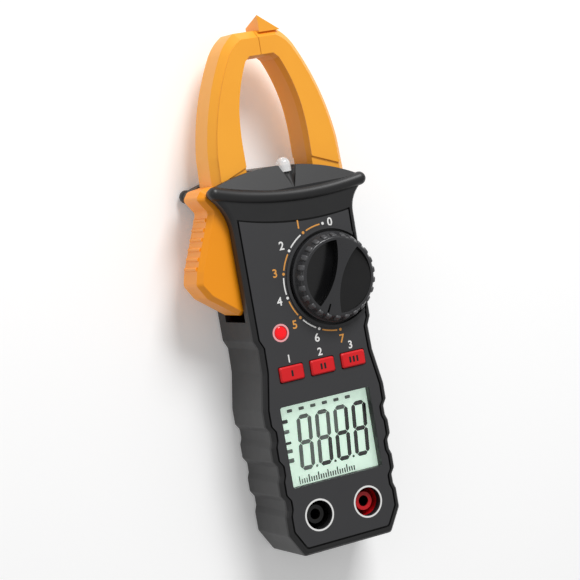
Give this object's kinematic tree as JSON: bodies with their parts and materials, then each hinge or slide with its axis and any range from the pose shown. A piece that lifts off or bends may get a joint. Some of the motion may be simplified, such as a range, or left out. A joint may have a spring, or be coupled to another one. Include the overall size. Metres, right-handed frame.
{
  "type": "clamp meter",
  "caption": "Hand-held clamp meter with spring-shut jaws worked by a side trigger, a rotary dial, push buttons, a segment display, an indicator lamp and test sockets.",
  "frame": {"origin": "on the flat back, on the centreline, level with the axes of the test sockets", "axes": "+X to the right of the display, +Y towards the jaws, +Z out of the display; the meter lies on its back"},
  "size_m": [0.0722, 0.1963, 0.0338],
  "materials": {
    "case_plastic": "fine texture",
    "amber_plastic": "satin",
    "button_plastic": "satin",
    "black_socket": "gloss",
    "red_socket": "gloss",
    "window": "gloss",
    "display": "gloss",
    "backlight": "satin",
    "white_plastic": "satin",
    "rubber": "matte",
    "circuit_board": "satin",
    "steel": "satin",
    "brass": "nickel plated",
    "core": "ground",
    "winding": "enamelled",
    "lamp_red": "gloss",
    "lamp_clear": "gloss",
    "cell_jacket": "gloss"
  },
  "bodies": {
    "housing": {"rear_case": "case_plastic", "front_case": "case_plastic", "front_panel": "case_plastic", "display_window": "window", "display_glass": "display", "display_backlight": "backlight", "display_frame": "white_plastic", "display_connectors": "rubber", "circuit_board": "circuit_board", "tact_switches": "steel", "buzzer": "black_socket", "voltage_led": "lamp_red", "voltage_lens": "lamp_red", "torch_lamp": "lamp_clear", "common_socket": "black_socket", "signal_socket": "red_socket", "socket_contacts": "brass", "aaa_cells": "cell_jacket", "battery_contacts": "steel", "battery_springs": "steel", "case_screws": "steel", "detent_ring": "white_plastic", "fixed_jaw_front": "amber_plastic", "fixed_jaw_rear": "amber_plastic", "fixed_jaw_core": "core", "fixed_jaw_coil": "winding", "jaw_pivot_pin": "steel", "jaw_spring": "steel"},
    "moving_jaw": {"moving_jaw_front": "amber_plastic", "moving_jaw_rear": "amber_plastic", "moving_jaw_core": "core", "moving_jaw_coil": "winding", "trigger": "amber_plastic"},
    "dial": {"dial_knob": "case_plastic", "dial_rotor": "white_plastic", "detent_balls": "steel", "detent_springs": "steel", "rotor_contacts": "brass"},
    "select": {"select_button": "button_plastic"},
    "range": {"range_button": "button_plastic"},
    "hold": {"hold_button": "button_plastic"},
    "cell_cover": {"battery_cover": "case_plastic", "battery_cover_screw": "steel"}
  },
  "joints": [
    {"name": "jaw_pivot", "type": "hinge", "parent": "housing", "child": "moving_jaw", "pos_m": [-0.0155, 0.1065, 0.016], "axis": [0, 0, 1], "range_deg": [0, 20], "stiffness_Nm_per_rad": 0.9, "springref_deg": -20.05, "deforming": ["jaw_spring"]},
    {"name": "dial_turn", "type": "hinge", "parent": "housing", "child": "dial", "pos_m": [0.0109, 0.0844, 0.028], "axis": [0, 0, 1], "range_deg": [-154.3, 25.7]},
    {"name": "select_press", "type": "slide", "parent": "housing", "child": "select", "axis": [0, 0, -1], "range_m": [0, 0.0008], "stiffness_N_per_m": 1200, "springref_m": -0.0004},
    {"name": "range_press", "type": "slide", "parent": "housing", "child": "range", "axis": [0, 0, -1], "range_m": [0, 0.0008], "stiffness_N_per_m": 1200, "springref_m": -0.0004},
    {"name": "hold_press", "type": "slide", "parent": "housing", "child": "hold", "axis": [0, 0, -1], "range_m": [0, 0.0008], "stiffness_N_per_m": 1200, "springref_m": -0.0004},
    {"name": "cover_lift", "type": "slide", "parent": "housing", "child": "cell_cover", "axis": [0, 0, -1], "range_m": [0, 0.02]}
  ]
}
